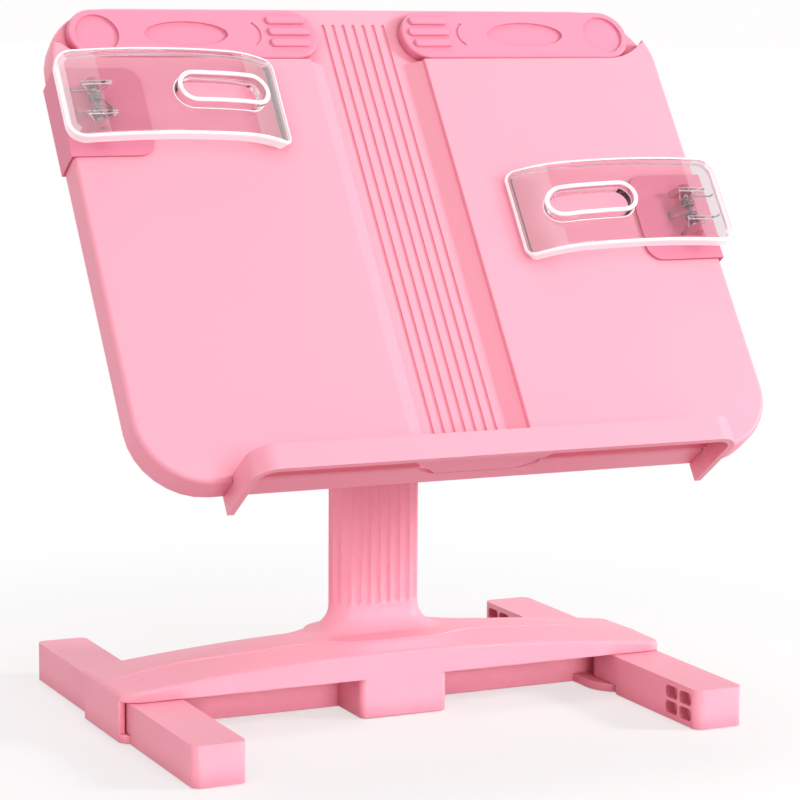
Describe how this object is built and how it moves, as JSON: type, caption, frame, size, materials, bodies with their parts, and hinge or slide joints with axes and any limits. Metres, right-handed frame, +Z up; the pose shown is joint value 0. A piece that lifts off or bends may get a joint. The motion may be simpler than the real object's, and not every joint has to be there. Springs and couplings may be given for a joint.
{
  "type": "book stand",
  "caption": "Tilting desk book stand: sloped board with a page ledge, spring page clips on slides and swing-out page arms, on a telescopic post over an arched beam with folding legs.",
  "frame": {"origin": "on the table plane, in the middle of the middle foot pad's underside", "axes": "X to the right along the beam, Y to the back, Z up; the board's face looks to -Y and up"},
  "size_m": [0.3294, 0.2525, 0.3395],
  "materials": {
    "pink_plastic": "satin moulded pink plastic",
    "deep_pink_plastic": "satin moulded deeper pink plastic",
    "steel": "brushed steel",
    "rubber_pad": "soft matt rubber",
    "clear_plastic": "clear polished acrylic"
  },
  "bodies": {
    "base": {"base_beam": "pink_plastic", "column": "pink_plastic", "column_bush": "deep_pink_plastic", "column_screws": "steel", "leg_pins": "steel", "centre_pad": "rubber_pad"},
    "leg_front_left": {"leg_front_left": "pink_plastic", "pad_front_left": "rubber_pad"},
    "leg_front_right": {"leg_front_right": "pink_plastic", "pad_front_right": "rubber_pad"},
    "leg_rear_left": {"leg_rear_left": "pink_plastic", "pad_rear_left": "rubber_pad"},
    "leg_rear_right": {"leg_rear_right": "pink_plastic", "pad_rear_right": "rubber_pad"},
    "height_dial": {"height_dial": "deep_pink_plastic", "height_stud": "steel"},
    "mast": {"mast": "steel", "tilt_head": "deep_pink_plastic", "head_screws": "steel", "friction_washers": "steel"},
    "board": {"board_panel": "pink_plastic", "back_cover": "pink_plastic", "cover_screws": "steel", "tilt_bracket": "deep_pink_plastic", "bracket_screws": "steel", "tilt_bolt": "steel", "ledge": "pink_plastic", "ledge_screws": "steel"},
    "tilt_dial": {"tilt_dial": "deep_pink_plastic"},
    "arm_left": {"arm_left": "deep_pink_plastic", "arm_screw_left": "steel"},
    "arm_right": {"arm_right": "deep_pink_plastic", "arm_screw_right": "steel"},
    "carriage_left": {"carriage_left": "deep_pink_plastic", "clip_pin_left": "steel", "clip_spring_left": "steel"},
    "carriage_right": {"carriage_right": "deep_pink_plastic", "clip_pin_right": "steel", "clip_spring_right": "steel"},
    "clip_left": {"clip_left": "clear_plastic"},
    "clip_right": {"clip_right": "clear_plastic"}
  },
  "joints": [
    {"name": "fold_front_left", "type": "hinge", "parent": "base", "child": "leg_front_left", "pos_m": [-0.12745, -0.015, 0.01], "axis": [0, 0, 1], "range_deg": [0, 90]},
    {"name": "fold_front_right", "type": "hinge", "parent": "base", "child": "leg_front_right", "pos_m": [0.12745, -0.015, 0.01], "axis": [0, 0, -1], "range_deg": [0, 90]},
    {"name": "fold_rear_left", "type": "hinge", "parent": "base", "child": "leg_rear_left", "pos_m": [-0.12745, 0.015, 0.01], "axis": [0, 0, -1], "range_deg": [0, 90]},
    {"name": "fold_rear_right", "type": "hinge", "parent": "base", "child": "leg_rear_right", "pos_m": [0.12745, 0.015, 0.01], "axis": [0, 0, 1], "range_deg": [0, 90]},
    {"name": "height_dial_turn", "type": "hinge", "parent": "base", "child": "height_dial", "pos_m": [0, 0.03, 0.148], "axis": [0, 1, 0], "range_deg": [0, 270]},
    {"name": "height_slide", "type": "slide", "parent": "base", "child": "mast", "axis": [0, 0, 1], "range_m": [-0.028, 0.05]},
    {"name": "board_tilt", "type": "hinge", "parent": "mast", "child": "board", "pos_m": [0, 0.0075, 0.235], "axis": [-1, 0, 0], "range_deg": [-25, 50]},
    {"name": "tilt_dial_turn", "type": "hinge", "parent": "board", "child": "tilt_dial", "pos_m": [0.03, 0.0075, 0.235], "axis": [1, 0, 0], "range_deg": [0, 270]},
    {"name": "arm_left_swing", "type": "hinge", "parent": "board", "child": "arm_left", "pos_m": [-0.1346, 0.0282, 0.3261], "axis": [0, -0.8192, 0.5736], "range_deg": [0, 140]},
    {"name": "arm_right_swing", "type": "hinge", "parent": "board", "child": "arm_right", "pos_m": [0.1346, 0.0282, 0.3261], "axis": [0, 0.8192, -0.5736], "range_deg": [0, 140]},
    {"name": "carriage_left_slide", "type": "slide", "parent": "board", "child": "carriage_left", "axis": [0, 0.5736, 0.8192], "range_m": [-0.125, 0]},
    {"name": "carriage_right_slide", "type": "slide", "parent": "board", "child": "carriage_right", "axis": [0, 0.5736, 0.8192], "range_m": [-0.06, 0.064]},
    {"name": "clip_left_open", "type": "hinge", "parent": "carriage_left", "child": "clip_left", "pos_m": [-0.146, -0.00663, 0.29519], "axis": [0, -0.5736, -0.8192], "range_deg": [0, 20], "stiffness_Nm_per_rad": 0.1, "springref_deg": -28.65, "deforming": ["clip_spring_left"]},
    {"name": "clip_right_open", "type": "hinge", "parent": "carriage_right", "child": "clip_right", "pos_m": [0.146, -0.04357, 0.24244], "axis": [0, 0.5736, 0.8192], "range_deg": [0, 20], "stiffness_Nm_per_rad": 0.1, "springref_deg": -28.65, "deforming": ["clip_spring_right"]}
  ]
}
